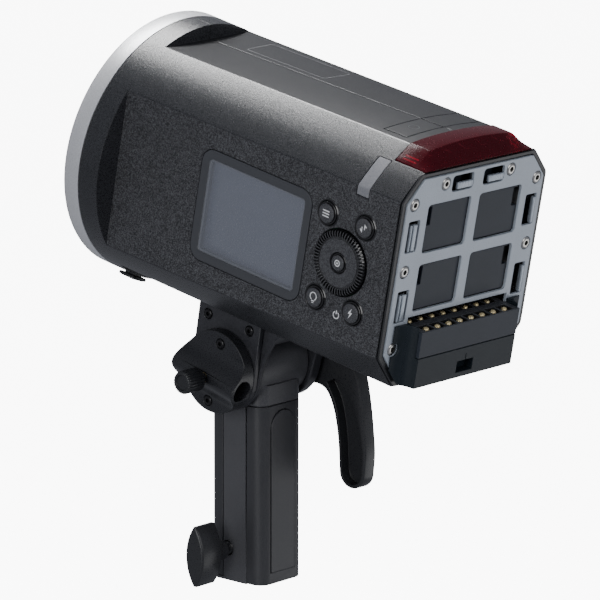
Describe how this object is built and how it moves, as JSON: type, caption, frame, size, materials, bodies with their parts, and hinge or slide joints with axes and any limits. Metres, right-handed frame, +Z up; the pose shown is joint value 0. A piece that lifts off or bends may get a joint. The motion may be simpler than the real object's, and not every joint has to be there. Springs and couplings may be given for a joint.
{
  "type": "monolight strobe",
  "caption": "Studio monolight strobe on a tilting stand handle, with a rear battery plate, side display and dial, umbrella holder and bayonet mount ring.",
  "frame": {"origin": "axis of the stand spigot socket at the handle's foot", "axes": "+Z up along the handle, -Y the way the light points, +X the display side"},
  "size_m": [0.128, 0.2127, 0.2677],
  "materials": {
    "shell": "fine speckled texture",
    "silver": "satin",
    "satin_black": "satin",
    "clear_glass": "polished",
    "diffuser": "milky translucent",
    "plate_grey": "satin metallic paint",
    "panel_grey": "matte",
    "steel": "bright",
    "black_steel": "black oxide",
    "signal_red": "dark translucent red",
    "screen": "gloss",
    "board": "solder mask",
    "rubber": "matte",
    "brass": "gold plated",
    "capacitor_sleeve": "shrink sleeve",
    "cast_black": "black powder coat"
  },
  "bodies": {
    "handle": {"handle_core": "cast_black", "handle_rear_cover": "rubber", "rear_grip": "rubber", "front_grip": "rubber", "spigot_pad": "brass"},
    "head": {"housing_display_side": "shell", "housing_far_side": "shell", "mount_ring": "silver", "reflector_bowl": "silver", "bayonet_ring": "satin_black", "rear_bezel": "satin_black", "port_block": "satin_black", "connector_cover": "satin_black", "fan_frame": "satin_black", "umbrella_block": "satin_black", "flash_tube": "clear_glass", "glass_dome": "clear_glass", "modelling_lamp": "diffuser", "status_light": "diffuser", "battery_plate": "plate_grey", "battery_backing": "panel_grey", "connector_block": "panel_grey", "plate_screw_1": "steel", "plate_screw_2": "steel", "plate_screw_3": "steel", "plate_screw_4": "steel", "plate_screw_5": "steel", "plate_screw_6": "steel", "plate_screw_7": "steel", "plate_screw_8": "steel", "tilt_axle": "steel", "yoke_screw_1": "black_steel", "yoke_screw_2": "black_steel", "umbrella_screw_1": "black_steel", "umbrella_screw_2": "black_steel", "signal_lens": "signal_red", "display_window": "screen", "display_panel": "screen", "display_board": "board", "main_board": "board", "contacts_inner": "brass", "contacts_outer": "brass", "umbrella_pad": "brass", "flash_capacitor_1": "capacitor_sleeve", "flash_capacitor_2": "capacitor_sleeve", "yoke_casting": "cast_black", "yoke_side_plate": "cast_black"},
    "dial": {"control_dial": "satin_black"},
    "set_button": {"set_button": "satin_black"},
    "menu_button": {"menu_button": "satin_black"},
    "mode_button": {"mode_button": "satin_black"},
    "lamp_button": {"lamp_button": "satin_black"},
    "flash_button": {"flash_button": "satin_black"},
    "sync_cover": {"sync_cover": "rubber"},
    "port_cover": {"port_cover": "rubber"},
    "mount_release": {"mount_release": "satin_black"},
    "umbrella_screw": {"umbrella_knob": "satin_black"},
    "tilt_lever": {"tilt_lever": "satin_black"},
    "spigot_screw": {"spigot_knob": "satin_black"},
    "fan": {"fan_rotor": "satin_black"}
  },
  "joints": [
    {"name": "head_tilt", "type": "hinge", "parent": "handle", "child": "head", "pos_m": [0, 0.005, 0.1055], "axis": [1, 0, 0], "range_deg": [-70, 90]},
    {"name": "tilt_lever_turn", "type": "hinge", "parent": "head", "child": "tilt_lever", "pos_m": [-0.03, 0.005, 0.1055], "axis": [1, 0, 0], "range_deg": [-30, 40]},
    {"name": "dial_turn", "type": "hinge", "parent": "head", "child": "dial", "pos_m": [0.0535, 0.10271, 0.1761], "axis": [1, 0, 0], "continuous": true},
    {"name": "set_button_press", "type": "slide", "parent": "head", "child": "set_button", "axis": [-1, 0, 0], "range_m": [0, 0.0008], "stiffness_N_per_m": 600},
    {"name": "menu_button_press", "type": "slide", "parent": "head", "child": "menu_button", "axis": [-1, 0, 0], "range_m": [0, 0.0008], "stiffness_N_per_m": 600},
    {"name": "mode_button_press", "type": "slide", "parent": "head", "child": "mode_button", "axis": [-1, 0, 0], "range_m": [0, 0.0008], "stiffness_N_per_m": 600},
    {"name": "lamp_button_press", "type": "slide", "parent": "head", "child": "lamp_button", "axis": [-1, 0, 0], "range_m": [0, 0.0008], "stiffness_N_per_m": 600},
    {"name": "flash_button_press", "type": "slide", "parent": "head", "child": "flash_button", "axis": [-1, 0, 0], "range_m": [0, 0.0008], "stiffness_N_per_m": 600},
    {"name": "mount_release_slide", "type": "slide", "parent": "head", "child": "mount_release", "axis": [0, 0.982, -0.1891], "range_m": [0, 0.0015], "stiffness_N_per_m": 300},
    {"name": "port_cover_flap", "type": "hinge", "parent": "head", "child": "port_cover", "pos_m": [-0.0139, 0.11946, 0.23397], "axis": [-1, 0, 0], "range_deg": [0, 100]},
    {"name": "sync_cover_flap", "type": "hinge", "parent": "head", "child": "sync_cover", "pos_m": [0.0118, 0.11946, 0.23397], "axis": [-1, 0, 0], "range_deg": [0, 100]},
    {"name": "umbrella_screw_turn", "type": "hinge", "parent": "head", "child": "umbrella_screw", "pos_m": [0.045, 0.00459, 0.10406], "axis": [1, 0, 0], "continuous": true},
    {"name": "spigot_screw_turn", "type": "hinge", "parent": "handle", "child": "spigot_screw", "pos_m": [0.03, 0, 0.016], "axis": [1, 0, 0], "continuous": true},
    {"name": "fan_spin", "type": "hinge", "parent": "head", "child": "fan", "pos_m": [0, 0.10414, 0.17399], "axis": [0, 0.982, -0.1891], "continuous": true}
  ]
}
